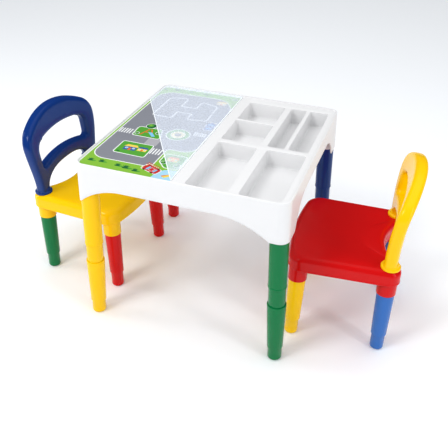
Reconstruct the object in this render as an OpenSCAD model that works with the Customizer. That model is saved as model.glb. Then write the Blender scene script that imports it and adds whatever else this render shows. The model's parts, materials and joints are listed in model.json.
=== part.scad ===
// Child's activity table with an organiser tray and two plug-together chairs.
// Origin: on the floor, under the middle of the whole group. +X runs from one
// chair to the other, +Y to the back of the table, +Z up. Millimetres.

/* [Table] */
// Width and depth of the table top
table_w = 520; // [480:10:560]
// Height of the table
table_h = 460; // [440:5:480]
// Radius of the vertical corners, which are also the outsides of the leg sockets
table_corner_r = 25; // [24:1:27]
// Thickness of the outer wall
table_wall = 4; // [3:0.5:5]
// Depth of the recess that the cover and tray sit in
recess_d = 5; // [4:0.5:6]
// Height of the socket mouths above the floor
socket_z = 355; // [345:1:365]
// Height of the middle of the front and back skirts above the floor
front_arch_z = 400; // [395:1:408]
// Height of the middle of the side skirts above the floor
side_arch_z = 418; // [410:1:424]
// Outward lean of each leg across the full height
leg_splay = 14.5; // [8:0.5:18]

/* [Table legs] */
// Radius of the upper leg at the socket mouth
upper_leg_r = 22.6; // [20:0.1:22.6]
// Height of the shoulder where the upper leg narrows
shoulder_z = 225; // [215:1:235]
// Height where the upper leg enters the lower leg
leg_joint_z = 172; // [160:1:180]
// Radius of the lower leg at its top
lower_leg_r = 23.4; // [22.8:0.1:24]

/* [Play panel and cover] */
// Width of the play panel
panel_w = 241; // [230:1:243]
// Depth of the play panel
panel_d = 501; // [480:1:505]
// Thickness of the translucent cover
cover_t = 3; // [2:0.5:3.5]
// Distance from the back edge of the cover to its slanting edge, on its left side
cover_cut = 112; // [60:1:240]
// How far the cover lifts in the drawing
cover_lift = 0; // [0:1:60]

/* [Organiser tray] */
// Depth of the compartments
tray_d = 42; // [30:1:43]
// Thickness of the tray
tray_t = 2.5; // [2:0.5:3]

/* [Chairs] */
// Height of the seat above the floor
seat_h = 253; // [245:1:260]
// Width of the seat at its front
seat_w = 302; // [298:1:308]
// How much narrower the seat is at its rear
seat_taper = 12; // [10:1:16]
// Distance from the middle of the chair to the middle of the seat's front edge
seat_front = 144; // [140:1:148]
// Height of the seat's skirt above the floor
skirt_z = 214; // [208:1:220]
// Height of the chair's leg sockets above the floor
chair_socket_z = 176; // [170:1:190]
// Overall height of the chair
chair_h = 469; // [459:1:479]
// Overall width of the backrest
back_w = 304; // [296:1:312]
// Thickness of the backrest
back_t = 30; // [28:1:34]
// How far the middle of the backrest bows back from its posts
back_bow = 8; // [6:1:12]
// Distance from the table's middle to the middle of the yellow chair's seat
yellow_chair_x = 359; // [355:1:420]
// Distance from the table's middle to the middle of the red chair's seat
red_chair_x = 365; // [360:1:420]
// Turn of the yellow chair away from square
yellow_chair_turn = 1.6; // [0:0.1:3]
// Turn of the red chair away from square
red_chair_turn = 3.4; // [0:0.1:6]

/* [Hidden] */
TABLE_LEGS = [["front_left", -1, -1, "gold"], ["front_right", 1, -1, "green"],
              ["back_right", 1, 1, "darkblue"], ["back_left", -1, 1, "red"]];
CHAIR_LEGS = [["front_left", 1, 1, "red", "gold"], ["front_right", 1, -1, "red", "gold"],
              ["rear_left", -1, 1, "green", "royalblue"], ["rear_right", -1, -1, "green", "royalblue"]];
$fn = 96;
eps = 0.01;                      // overlap that fuses touching solids of one node
big = 2000;                      // longer than the whole group

// Table: levels and plan sizes
half_w = table_w / 2;
deck_z = table_h - recess_d;
deck_t = 4;
lean = leg_splay / table_h;      // outward run for each unit of drop
corner_c = half_w - table_corner_r;
recess_half = half_w - table_wall;
recess_r = 18;
socket_bore_r = upper_leg_r + 0.2;
leg_top_z = 408;
socket_roof_t = 3;
foot_c = corner_c + leg_splay;
deck_rib_h = 14;                 // stiffening ribs under the play deck
deck_rib_t = 3;
deck_rib_x = -132.5;
deck_rib_ys = [-85, 85];
window_left = -5;                // window in the deck that the tray hangs in
window_right = 245;
window_back = 232;
window_r = 12;
// Skirt arches, along the skirt from the table's middle
front_flat_left = -139;
front_flat_right = 90;
front_flare_left_r = 168;
front_flare_right_r = 211;
side_flat_half = 110;
side_flare_r = 90;
// Tray layout: [left, right, front, back] of each compartment, and its corner radius
tray_left = -13;
tray_top_z = deck_z + tray_t;
tray_fit = 0.4;                  // gap between the tray and the wall round it
compartments = [[17, 120, 110, 223, 6], [17, 120, -16, 102, 6], [137, 180, -16, 223, 6],
                [190, 240, -16, 223, 6], [18, 119, -252.5, -33, 8], [143, 241, -252.5, -33, 16]];
sheet_t = 0.8;
cover_gap = 0.3;                 // running gap round the cover
cover_z = deck_z + sheet_t + cover_gap;
panel_right = tray_left - 1;
panel_left = panel_right - panel_w;
panel_back = 247;

// Legs
shoulder_r = upper_leg_r - 0.4;
collar_r = 21.1;
spigot_r = 19;
spigot_low_z = 142;
ankle_z = 38;
ankle_r = 20;
foot_r = 17.8;
foot_round = 6;
sole_t = 4;
leg_wall = 2.5;
joint_gap = 0.2;

// Chairs, in each chair's own frame: +X to its front, origin on the floor under the seat
seat_t = 4;
seat_wall = 3;
seat_front_r = 36;               // radius of the front corners
seat_rear_r = 28;                // radius of the lobes that the posts stand on
seat_front_bow_r = 640;          // radius of the bowed front edge
seat_rear_dip = 46;              // how far the rear edge is hollowed between the posts
bite = 0.15;                     // how far neighbouring curves of a chair's outlines cross
chair_lean = [4.6 / 253, 9.1 / 253];   // outward run of a chair leg for each unit of drop
front_foot_c = [109, 131];       // foot centres on the floor
rear_foot_c = [113, 123];
chair_socket_r = 23.6;
chair_leg_r = 21.8;
chair_leg_top_z = 221;
post_c = [-109, seat_w / 2 - seat_taper / 2 - seat_rear_r];
post_r = 18.5;
post_plug_r = 16.8;
post_plug_z = 226;
post_collar_r = 23.5;
post_collar_h = 10;
post_foot_h = 4;                 // height above the seat where the posts take their full section
post_rest_d = 1.2;               // depth of the shallow rest that each collar stands in
yellow_chair_y = -1;             // how far each chair stands off the table's middle line
red_chair_y = -7;
// Backrest outline, seen from the front
back_arch_r = 255;
back_corner_r = 55;
hole_top = 407;
hole_half_w = 110;
hole_low = 338;
hole_arch_r = 420;
hole_corner_r = 26;
rail_low = 302;
back_lean_z = 278.4;               // height where the backrest starts to curve back
back_lean_r = 800;               // radius of that curve
back_plan_r = (post_c[1] * post_c[1] + back_bow * back_bow) / (2 * back_bow);

// ---------- shared shapes ----------

// Rectangle from corner a to corner b with all four corners rounded
module round_rect(a, b, r) {
    translate([a[0] + r, a[1]]) square([b[0] - a[0] - 2 * r, b[1] - a[1]]);
    translate([a[0], a[1] + r]) square([b[0] - a[0], b[1] - a[1] - 2 * r]);
    for (x = [a[0] + r, b[0] - r], y = [a[1] + r, b[1] - r]) translate([x, y]) circle(r);
}

// Puts a leg drawn upright at the origin on its slanting line: foot at f, leaning by run per unit height
module slant(f, run) {
    rx = -asin(run[1]);
    ry = asin(run[0] / cos(rx));
    translate([f[0], f[1], 0]) rotate([rx, ry, 0]) children();
}

// Half profile of a leg's foot: flat sole, rounded edge, straight to the ankle step
function foot_profile(r, top) = concat([[0, -2], [r - foot_round, -2]],
    [for (a = [0 : 15 : 90]) [r - foot_round + foot_round * sin(a), foot_round - foot_round * cos(a)]],
    [[r, top]]);

module above_floor() {
    intersection() {
        children();
        translate([-big / 2, -big / 2, 0]) cube([big, big, big / 2]);
    }
}

module slab(z0, z1) {
    intersection() {
        children();
        translate([-big / 2, -big / 2, z0]) cube([big, big, z1 - z0]);
    }
}

// Hollow inside a leg, from its top down to just above the sole
module leg_core(top_r, top_z, ankle, foot) {
    rotate_extrude() polygon([[0, sole_t], [foot - foot_round, sole_t],
                              [foot - leg_wall, foot_round + sole_t], [foot - leg_wall, ankle + leg_wall],
                              [top_r - leg_wall, top_z], [0, top_z]]);
}

// ---------- table ----------

// Rounded block whose sides lean out towards the floor, inset from the outer wall
module leaning_block(inset, z0, z1) {
    r = table_corner_r - inset;
    edge = half_w - inset;
    for (sx = [-1, 1], sy = [-1, 1]) slab(z0, z1)
        slant([sx * foot_c, sy * foot_c], [-sx * lean, -sy * lean]) cylinder(r = r, h = table_h + 10);
    for (turn = [0, 90]) rotate([0, 0, turn]) rotate([90, 0, 0])
        translate([0, 0, -corner_c]) linear_extrude(2 * corner_c)
            polygon([[-edge - (table_h - z0) * lean, z0], [edge + (table_h - z0) * lean, z0],
                     [edge + (table_h - z1) * lean, z1], [-edge - (table_h - z1) * lean, z1]]);
}

// Opening under a skirt: flat in the middle, round flares that run down to the socket mouths
module arch_shape(left, right, left_r, right_r, z) {
    translate([left, socket_z - 50]) square([right - left, z - socket_z + 50]);
    for (end = [[left, left_r, -1], [right, right_r, 0]]) translate([end[0], z - end[1]]) intersection() {
        circle(end[1], $fn = 180);
        translate([end[2] * big, -big / 2]) square(big);
    }
}

module front_arch() {
    rotate([90, 0, 0]) translate([0, 0, -big / 2]) linear_extrude(big)
        arch_shape(front_flat_left, front_flat_right, front_flare_left_r, front_flare_right_r, front_arch_z);
}

module side_arch() {
    rotate([90, 0, 90]) translate([0, 0, -big / 2]) linear_extrude(big)
        arch_shape(-side_flat_half, side_flat_half, side_flare_r, side_flare_r, side_arch_z);
}

module table_skirt() {
    difference() {
        leaning_block(0, socket_z, table_h);
        leaning_block(table_wall, socket_z - 1, deck_z - deck_t);
    }
}

module table_top() {
    rib_z = deck_z - deck_t - deck_rib_h;
    color("white") difference() {
        union() {
            difference() {
                union() {
                    table_skirt();
                    slab(socket_z, leg_top_z + socket_roof_t) for (leg = TABLE_LEGS)
                        slant([leg[1] * foot_c, leg[2] * foot_c], [-leg[1] * lean, -leg[2] * lean])
                            cylinder(r = table_corner_r, h = table_h);
                }
                front_arch();
                side_arch();
            }
            for (y = deck_rib_ys) translate([-recess_half, y - deck_rib_t / 2, rib_z])
                cube([recess_half + window_left - deck_t, deck_rib_t, deck_rib_h + 1]);
            translate([deck_rib_x - deck_rib_t / 2, -recess_half, rib_z])
                cube([deck_rib_t, 2 * recess_half, deck_rib_h + 1]);
        }
        // recess for the cover and tray, and the window that the tray hangs in
        translate([0, 0, deck_z]) linear_extrude(recess_d + 1)
            round_rect([-recess_half, -recess_half], [recess_half, recess_half], recess_r);
        translate([0, 0, deck_z - 40]) linear_extrude(50)
            round_rect([window_left, -recess_half + cover_gap], [window_right, window_back], window_r);
        // leg sockets
        for (leg = TABLE_LEGS) slab(socket_z - 1, leg_top_z + 1)
            slant([leg[1] * foot_c, leg[2] * foot_c], [-leg[1] * lean, -leg[2] * lean])
                cylinder(r = socket_bore_r, h = table_h);
    }
}

module organiser_tray() {
    floor_z = tray_top_z - tray_d;
    edge = recess_half - tray_fit;
    color("white") difference() {
        union() {
            translate([0, 0, deck_z]) linear_extrude(tray_t) intersection() {
                round_rect([-edge, -edge], [edge, edge], recess_r);
                translate([tray_left, -edge]) square([edge - tray_left, 2 * edge]);
            }
            for (c = compartments) translate([0, 0, floor_z - tray_t]) linear_extrude(tray_d)
                round_rect([c[0] - tray_t, c[2] - tray_t], [c[1] + tray_t, c[3] + tray_t], c[4] + tray_t);
        }
        for (c = compartments) translate([0, 0, floor_z]) linear_extrude(tray_d + 1)
            round_rect([c[0], c[2]], [c[1], c[3]], c[4]);
    }
}

module play_sheet() {
    r = 16;
    color("yellowgreen") translate([0, 0, deck_z]) linear_extrude(sheet_t) intersection() {
        round_rect([panel_left, panel_back - panel_d], [panel_right + 2 * r, panel_back + 2 * r], r);
        translate([panel_left, panel_back - panel_d]) square([panel_w, panel_d]);
    }
}

module clear_cover() {
    r = 16;
    left = panel_left;
    back = panel_back + 5;
    front = panel_back - panel_d;
    right = panel_right;
    color([0.85, 0.9, 0.97, 0.6]) translate([0, 0, cover_z + cover_lift]) linear_extrude(cover_t) {
        intersection() {
            round_rect([left, back - 2 * panel_d], [right + 2 * r, back], r);
            polygon([[right, front], [right, back], [left, back], [left, back - cover_cut]]);
        }
    }
}

module upper_leg(sx, sy, colour) {
    color(colour) slab(spigot_low_z, leg_top_z)
        slant([sx * foot_c, sy * foot_c], [-sx * lean, -sy * lean]) rotate_extrude()
            polygon([[spigot_r - leg_wall, spigot_low_z - 5], [spigot_r, spigot_low_z - 5],
                     [spigot_r, leg_joint_z], [collar_r, leg_joint_z], [collar_r, shoulder_z],
                     [shoulder_r, shoulder_z], [upper_leg_r, socket_z], [upper_leg_r, table_h],
                     [upper_leg_r - leg_wall, table_h], [upper_leg_r - leg_wall, socket_z],
                     [collar_r - leg_wall - 0.6, shoulder_z], [spigot_r - leg_wall, leg_joint_z]]);
}

module lower_leg(sx, sy, colour) {
    color(colour) above_floor() slant([sx * foot_c, sy * foot_c], [-sx * lean, -sy * lean]) difference() {
        rotate_extrude() polygon(concat(foot_profile(foot_r, ankle_z),
            [[ankle_r, ankle_z], [lower_leg_r, leg_joint_z - 6], [lower_leg_r, leg_joint_z - joint_gap],
             [0, leg_joint_z - joint_gap]]));
        translate([0, 0, spigot_low_z - 6]) cylinder(r = spigot_r + joint_gap, h = 60);
        leg_core(spigot_r, spigot_low_z - 5, ankle_z, foot_r);
    }
}

// ---------- chair, in its own frame ----------

// Plan of the seat: bowed front, sides that taper to the rear, and a hollowed rear edge between two
// lobes. Neighbouring curves cross by a hair, bite, instead of just touching.
module seat_outline(inset) {
    front_r = seat_front_r - inset;
    rear_r = seat_rear_r - inset;
    corner_y = seat_w / 2 - seat_front_r;
    bow_x = seat_front - seat_front_bow_r;
    corner_x = bow_x + sqrt(pow(seat_front_bow_r - seat_front_r, 2) - corner_y * corner_y);
    run = [corner_x - post_c[0], corner_y - post_c[1]];
    side = atan2(run[1], run[0]) + acos((rear_r - front_r) / norm(run));   // way the side faces
    dip_r = (seat_rear_dip * seat_rear_dip + post_c[1] * post_c[1]) / (2 * seat_rear_dip) - seat_rear_r;
    dip_x = post_c[0] - seat_rear_r + seat_rear_dip - dip_r;
    dip = atan2(post_c[1], post_c[0] - dip_x);                             // way from the hollow to a lobe
    half = [[corner_x, corner_y],
            [corner_x + (front_r - bite) * cos(side), corner_y + (front_r - bite) * sin(side)],
            [post_c[0] + (rear_r - bite) * cos(side), post_c[1] + (rear_r - bite) * sin(side)],
            [post_c[0], post_c[1]],
            [post_c[0] - (rear_r + bite) * cos(dip), post_c[1] - (rear_r + bite) * sin(dip)]];
    difference() {
        intersection() {
            union() {
                polygon(concat(half, [for (i = [len(half) - 1 : -1 : 0]) [half[i][0], -half[i][1]]]));
                translate([0, -corner_y - bite]) square([seat_front + bite, 2 * (corner_y + bite)]);
                for (s = [-1, 1]) {
                    translate([corner_x, s * corner_y]) circle(front_r);
                    translate([post_c[0], s * post_c[1]]) circle(rear_r);
                }
            }
            translate([bow_x, 0]) circle(seat_front_bow_r - inset - bite, $fn = 360);
        }
        translate([dip_x, 0]) circle(dip_r + inset + 2 * bite, $fn = 180);
    }
}

// Puts a leg or socket drawn upright on the slanting line of leg sx, sy
module chair_axis(sx, sy) {
    foot = sx > 0 ? front_foot_c : rear_foot_c;
    slant([sx * foot[0], sy * foot[1]], [-sx * chair_lean[0], -sy * chair_lean[1]]) children();
}

module seat() {
    difference() {
        union() {
            difference() {
                translate([0, 0, skirt_z]) linear_extrude(seat_h - skirt_z) seat_outline(0);
                translate([0, 0, skirt_z - 1]) linear_extrude(seat_h - seat_t - skirt_z + 1)
                    seat_outline(seat_wall);
            }
            for (sx = [-1, 1], sy = [-1, 1]) slab(chair_socket_z, seat_h - eps)
                chair_axis(sx, sy) cylinder(r = chair_socket_r, h = seat_h + 10);
        }
        for (sx = [-1, 1], sy = [-1, 1]) slab(chair_socket_z - 1, chair_leg_top_z + 1)
            chair_axis(sx, sy) cylinder(r = chair_leg_r + joint_gap, h = seat_h);
        for (sy = [-1, 1]) translate([post_c[0], sy * post_c[1], 0]) {
            translate([0, 0, post_plug_z - 1]) cylinder(r = post_plug_r + joint_gap, h = seat_h);
            translate([0, 0, seat_h - post_rest_d]) cylinder(r = post_collar_r + 0.5, h = seat_h);
        }
    }
}

module chair_leg(sx, sy) {
    foot = foot_r - 1;
    ankle = ankle_z + 8;
    slab(0, chair_leg_top_z) chair_axis(sx, sy) difference() {
        rotate_extrude() polygon(concat(foot_profile(foot, ankle),
            [[ankle_r - 0.6, ankle], [chair_leg_r, chair_socket_z], [chair_leg_r, seat_h], [0, seat_h]]));
        leg_core(chair_leg_r, seat_h + 5, ankle, foot);
    }
}

// Face of the backrest seen from the front, as [across, up]. Its corners lie inside its other curves
// by a hair, bite, instead of just touching them.
module back_outline() {
    side = back_w / 2;
    corner_y = side - back_corner_r;
    corner_z = chair_h - back_arch_r + sqrt(pow(back_arch_r - back_corner_r, 2) - corner_y * corner_y);
    meet_y = corner_y * back_arch_r / (back_arch_r - back_corner_r);   // where arch meets corner
    flare_z = corner_z - 60;
    post_out = post_c[1] + post_r;
    intersection() {
        union() {
            for (s = [-1, 1]) translate([s * corner_y, corner_z]) circle(back_corner_r - bite);
            intersection() {
                translate([0, chair_h - back_arch_r]) circle(back_arch_r, $fn = 180);
                translate([-meet_y, flare_z]) square([2 * meet_y, chair_h - flare_z + 1]);
            }
            polygon([[-post_out, seat_h + post_foot_h], [post_out, seat_h + post_foot_h], [side - 3, flare_z],
                     [side, corner_z], [-side, corner_z], [-side + 3, flare_z]]);
        }
        translate([-big / 2, seat_h + post_foot_h]) square([big, big]);
    }
}

// Grip hole in the backrest
module hole_shape() {
    c = hole_half_w - hole_corner_r;
    drop = hole_arch_r - sqrt(hole_arch_r * hole_arch_r - hole_half_w * hole_half_w);
    difference() {
        intersection() {
            translate([0, hole_top - hole_arch_r]) circle(hole_arch_r, $fn = 240);
            union() {
                translate([-hole_half_w, hole_low - 20])
                    square([2 * hole_half_w, hole_top - drop - hole_corner_r - hole_low + 20]);
                translate([-c, hole_low - 20]) square([2 * c, hole_top - hole_low + 20]);
                for (s = [-1, 1]) translate([s * c, hole_top - drop - hole_corner_r]) circle(hole_corner_r);
            }
        }
        translate([0, hole_low - hole_arch_r]) circle(hole_arch_r, $fn = 240);
    }
}

// Space between the posts, under the lower rail
module under_rail_shape() {
    half = post_c[1] - post_r;
    r = 44;
    translate([-half, seat_h - 10]) square([2 * half, rail_low - 4 - r - seat_h + 10]);
    translate([-half + r, seat_h - 10]) square([2 * (half - r), rail_low - seat_h + 6]);
    for (s = [-1, 1]) translate([s * (half - r), rail_low - 4 - r]) circle(r);
    translate([0, rail_low - hole_arch_r]) intersection() {
        circle(hole_arch_r, $fn = 240);
        translate([-half + r, hole_arch_r - 20]) square([2 * (half - r), 40]);
    }
}

// Bowed strip that the backrest is cut from: its section swept round an upright axis in front
module back_strip() {
    axis_x = post_c[0] + sqrt(back_plan_r * back_plan_r - post_c[1] * post_c[1]);
    levels = concat([seat_h], [for (z = [back_lean_z : 15 : chair_h + 15]) z]);
    function mid(z) = back_plan_r + pow(max(0, z - back_lean_z), 2) / (2 * back_lean_r);
    strip = concat([for (z = levels) [mid(z) + back_t / 2, z]],
                   [for (i = [len(levels) - 1 : -1 : 0]) [mid(levels[i]) - back_t / 2, levels[i]]]);
    translate([axis_x, 0, 0]) rotate([0, 0, 150]) rotate_extrude(angle = 60, $fn = 360) polygon(strip);
}

module backrest() {
    intersection() {
        back_strip();
        rotate([90, 0, 90]) translate([0, 0, -big / 2]) linear_extrude(big) difference() {
            back_outline();
            hole_shape();
            under_rail_shape();
        }
    }
    for (sy = [-1, 1]) translate([post_c[0], sy * post_c[1], 0]) {
        translate([0, 0, seat_h - post_rest_d + joint_gap])
            cylinder(r1 = post_collar_r, r2 = post_plug_r, h = post_collar_h);
        translate([0, 0, post_plug_z]) cylinder(r = post_plug_r, h = seat_h - post_plug_z + post_collar_h);
    }
}

module yellow_chair() {
    translate([-yellow_chair_x, yellow_chair_y, 0]) rotate([0, 0, -yellow_chair_turn]) children();
}

module red_chair() {
    translate([red_chair_x, red_chair_y, 0]) rotate([0, 0, 180 + red_chair_turn]) children();
}

// ---------- nodes ----------

table_top();
organiser_tray();
play_sheet();
clear_cover();
for (leg = TABLE_LEGS) {
    upper_leg(leg[1], leg[2], leg[3]);
    lower_leg(leg[1], leg[2], leg[3]);
}
yellow_chair() color("gold") seat();  // yellow_seat
yellow_chair() color("darkblue") backrest();  // blue_backrest
red_chair() color("red") seat();  // red_seat
red_chair() color("gold") backrest();  // yellow_backrest
for (leg = CHAIR_LEGS) {
    yellow_chair() color(leg[3]) chair_leg(leg[1], leg[2]);
    red_chair() color(leg[4]) chair_leg(leg[1], leg[2]);
}
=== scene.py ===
"""Looks for the kids' activity table and its two chairs.
Lengths in the shape code are millimetres in the row frame; MM turns them into Blender's metres."""
import json
import math

import bpy
import numpy as np
from mathutils import Matrix, Vector
from mathutils.geometry import delaunay_2d_cdt, tessellate_polygon


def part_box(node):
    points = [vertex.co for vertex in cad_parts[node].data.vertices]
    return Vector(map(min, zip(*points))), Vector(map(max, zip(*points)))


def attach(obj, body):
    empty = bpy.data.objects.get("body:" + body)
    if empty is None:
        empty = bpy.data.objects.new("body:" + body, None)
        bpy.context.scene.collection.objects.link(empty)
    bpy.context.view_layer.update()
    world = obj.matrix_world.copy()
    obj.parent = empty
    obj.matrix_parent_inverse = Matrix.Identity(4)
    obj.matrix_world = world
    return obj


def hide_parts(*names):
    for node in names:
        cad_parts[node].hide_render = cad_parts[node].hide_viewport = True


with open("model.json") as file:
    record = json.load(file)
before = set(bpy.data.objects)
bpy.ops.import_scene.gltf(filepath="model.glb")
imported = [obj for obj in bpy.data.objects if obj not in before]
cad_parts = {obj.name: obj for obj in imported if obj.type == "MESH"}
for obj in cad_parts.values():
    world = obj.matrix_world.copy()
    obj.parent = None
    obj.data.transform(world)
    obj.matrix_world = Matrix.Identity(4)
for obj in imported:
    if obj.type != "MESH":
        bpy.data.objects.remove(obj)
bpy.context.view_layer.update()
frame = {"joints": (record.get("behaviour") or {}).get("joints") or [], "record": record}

MM = 0.001

# ---------- sizes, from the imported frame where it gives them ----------


def box_mm(node):
    low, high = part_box(node)
    return np.array(low) / MM, np.array(high) / MM


TABLE_LOW, TABLE_HIGH = box_mm("table_top")
SHEET_LOW, SHEET_HIGH = box_mm("play_sheet")
COVER_LOW, COVER_HIGH = box_mm("clear_cover")
TRAY_LOW, TRAY_HIGH = box_mm("organiser_tray")
TABLE_H = TABLE_HIGH[2]
SOCKET_Z = TABLE_LOW[2]  # mouths of the leg sockets
DECK_Z = SHEET_LOW[2]
DECK_T = 4.0
CORNER_R = 25.0  # corners of the table, in plan
WALL = 4.0  # thickness of the table's skirt
HALF_W = 260.0  # half the width of the table's rim
CORNER_C = HALF_W - CORNER_R
LEAN = (TABLE_HIGH[0] - HALF_W) / (TABLE_H - SOCKET_Z)  # outward lean of skirt and legs
FOOT_C = CORNER_C + LEAN * TABLE_H
SEAT_H = box_mm("yellow_seat")[1][2]
CHAIR_H = box_mm("blue_backrest")[1][2]
SKIRT_Z = 214.0  # lower edge of a seat's skirt
CHAIR_SOCKET_Z = box_mm("yellow_seat")[0][2]
AXIS_R = 0.4  # small ring at the end of a turned profile that closes on its axis

JOINTS = {joint["name"]: joint for joint in frame["joints"]}
MOUNTS = {mount["name"]: mount for mount in frame["record"]["mounts"]}


def chair_matrix(colour):
    """Places a chair's own frame in the row frame: +X to its front, origin on the floor under its seat."""
    pull = JOINTS[colour + "_chair_slide"]["axis"]
    place = MOUNTS[colour + "_seat_surface"]["pos_m"]
    yaw = math.atan2(-pull[1], -pull[0])
    return Matrix.Translation((place[0], place[1], 0)) @ Matrix.Rotation(yaw, 4, "Z")


# ---------- mesh helpers ----------


def link_object(name, data):
    obj = bpy.data.objects.new(name, data)
    bpy.context.scene.collection.objects.link(obj)
    return obj


def make_mesh(name, verts, faces, matrix=None):
    """A smooth-shaded mesh object from points in millimetres."""
    mesh = bpy.data.meshes.new(name)
    points = np.asarray(verts, float) * MM
    mesh.from_pydata(points.tolist(), [], [list(map(int, face)) for face in faces])
    mesh.validate()
    mesh.update()
    obj = link_object(name, mesh)
    if matrix is not None:
        mesh.transform(matrix)
    mesh.shade_smooth()
    mesh.set_sharp_from_angle(angle=math.radians(38))
    return obj


def finish_piece(obj, body, slot, *nodes):
    obj.data.materials.clear()
    obj.data.materials.append(PLASTICS[slot])
    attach(obj, body)
    if nodes:
        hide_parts(*nodes)


class Shell:
    """Collects points and faces of one piece, from several closed surfaces."""

    def __init__(self):
        self.verts = []
        self.faces = []

    def add(self, verts, faces):
        start = len(self.verts)
        self.verts.extend([tuple(map(float, v)) for v in verts])
        self.faces.extend([[int(i) + start for i in face] for face in faces])

    def loft(self, rings, close_start=True, close_end=True, cyclic=False):
        """Quads between rings of equal length; the ends are filled flat, unless the rings form a loop."""
        count = len(rings[0])
        verts = [point for ring in rings for point in ring]
        faces = []
        steps = len(rings) if cyclic else len(rings) - 1
        for k in range(steps):
            a = k * count
            b = ((k + 1) % len(rings)) * count
            for i in range(count):
                j = (i + 1) % count
                faces.append((a + i, a + j, b + j, b + i))
        if close_start and not cyclic:
            faces.append(tuple(range(count - 1, -1, -1)))
        if close_end and not cyclic:
            faces.append(tuple((len(rings) - 1) * count + i for i in range(count)))
        self.add(verts, faces)

    def object(self, name, matrix=None):
        return make_mesh(name, self.verts, self.faces, matrix)


def arc(centre, radius, start, end, count):
    """Points on an arc, angles in degrees."""
    angles = np.radians(np.linspace(start, end, count))
    return [(centre[0] + radius * math.cos(a), centre[1] + radius * math.sin(a)) for a in angles]


def rounded_rect(x0, x1, y0, y1, radii, per_corner=9):
    """Counter-clockwise outline; radii run front right, back right, back left, front left."""
    if not isinstance(radii, (list, tuple)):
        radii = [radii] * 4
    fr, br, bl, fl = radii
    points = arc((x1 - fr, y0 + fr), fr, -90, 0, per_corner)
    points += arc((x1 - br, y1 - br), br, 0, 90, per_corner)
    points += arc((x0 + bl, y1 - bl), bl, 90, 180, per_corner)
    points += arc((x0 + fl, y0 + fl), fl, 180, 270, per_corner)
    return points


def resample(points, spacing):
    """Adds points to the long straight stretches of a closed outline."""
    out = []
    for i, a in enumerate(points):
        b = points[(i + 1) % len(points)]
        length = math.dist(a, b)
        cuts = max(1, int(length / spacing))
        out += [(a[0] + (b[0] - a[0]) * k / cuts, a[1] + (b[1] - a[1]) * k / cuts) for k in range(cuts)]
    return out


def inward(points, distance):
    """Moves a counter-clockwise outline inwards by distance, along its normals."""
    p = np.array(points, float)
    before = p - np.roll(p, 1, axis=0)
    after = np.roll(p, -1, axis=0) - p
    before /= np.maximum(np.linalg.norm(before, axis=1, keepdims=True), 1e-9)
    after /= np.maximum(np.linalg.norm(after, axis=1, keepdims=True), 1e-9)
    n1 = np.stack([-before[:, 1], before[:, 0]], axis=1)
    n2 = np.stack([-after[:, 1], after[:, 0]], axis=1)
    bisector = n1 + n2
    length = np.linalg.norm(bisector, axis=1, keepdims=True)
    bisector /= np.maximum(length, 1e-9)
    stretch = 1 / np.maximum((bisector * n1).sum(axis=1, keepdims=True), 0.5)
    return (p + bisector * stretch * distance).tolist()


def flat_fill(loops, z):
    """Triangles that fill the first loop, less the others."""
    flat = [[Vector((x, y, 0)) for x, y in loop] for loop in loops]
    verts = [(x, y, z) for loop in loops for x, y in loop]
    return verts, [tuple(t) for t in tessellate_polygon(flat)]


def orient_up(verts, faces, up=True):
    """Turns each triangle so that it faces up, or down."""
    out = []
    for face in faces:
        a, b, c = (verts[i] for i in face[:3])
        cross = (b[0] - a[0]) * (c[1] - a[1]) - (b[1] - a[1]) * (c[0] - a[0])
        if abs(cross) < 1e-9:
            continue
        out.append(tuple(face) if (cross > 0) == up else tuple(reversed(face)))
    return out


def plate(shell, outer, holes, z0, z1, edge, steps=3):
    """Closed flat plate with rounded edges. outer runs counter-clockwise, holes too."""
    loops = [outer] + [list(reversed(hole)) for hole in holes]
    turn = [math.radians(90 * k / steps) for k in range(steps + 1)]
    top = [(edge * (1 - math.cos(t)), z1 - edge + edge * math.sin(t)) for t in turn]
    low = [(inset, z0 + z1 - z) for inset, z in top]
    profile = list(reversed(low)) + top
    rows = []
    for inset, z in profile:
        rows.append([(inward(loop, inset), z) for loop in loops])
    verts, faces = [], []
    starts = []
    for row in rows:
        starts.append([])
        for loop, z in row:
            starts[-1].append(len(verts))
            verts += [(x, y, z) for x, y in loop]
    for k in range(len(rows) - 1):
        for i, loop in enumerate(loops):
            a, b, count = starts[k][i], starts[k + 1][i], len(loop)
            for m in range(count):
                n = (m + 1) % count
                faces.append((a + m, a + n, b + n, b + m))
    for k, up in ((0, False), (len(rows) - 1, True)):
        row_loops = [loop for loop, _ in rows[k]]
        fill_verts, fill = flat_fill(row_loops, rows[k][0][1])
        base = starts[k][0]
        faces += [tuple(base + i for i in face) for face in orient_up(fill_verts, fill, up)]
    shell.add(verts, faces)


def revolve(profile, count=64):
    """Rings of a turned shape from (radius, height) points."""
    turns = [2 * math.pi * i / count for i in range(count)]
    return [[(radius * math.cos(a), radius * math.sin(a), height) for a in turns] for radius, height in profile]


def fillet(corner, start, end, radius, steps=4):
    """Rounds the corner of a profile between two straight runs."""
    c, a, b = np.array(corner, float), np.array(start, float), np.array(end, float)
    u = (a - c) / np.linalg.norm(a - c)
    v = (b - c) / np.linalg.norm(b - c)
    half = math.acos(max(-1, min(1, float(u @ v)))) / 2
    run = radius / math.tan(half)
    centre = c + (u + v) / np.linalg.norm(u + v) * radius / math.sin(half)
    first, last = c + u * run - centre, c + v * run - centre
    sweep = math.acos(max(-1, min(1, float(first @ last) / radius ** 2)))
    points = []
    for k in range(steps + 1):
        t = k / steps
        if sweep < 1e-6:
            w = first
        else:
            w = (math.sin((1 - t) * sweep) * first + math.sin(t * sweep) * last) / math.sin(sweep)
        points.append(tuple(centre + w))
    return points


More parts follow.
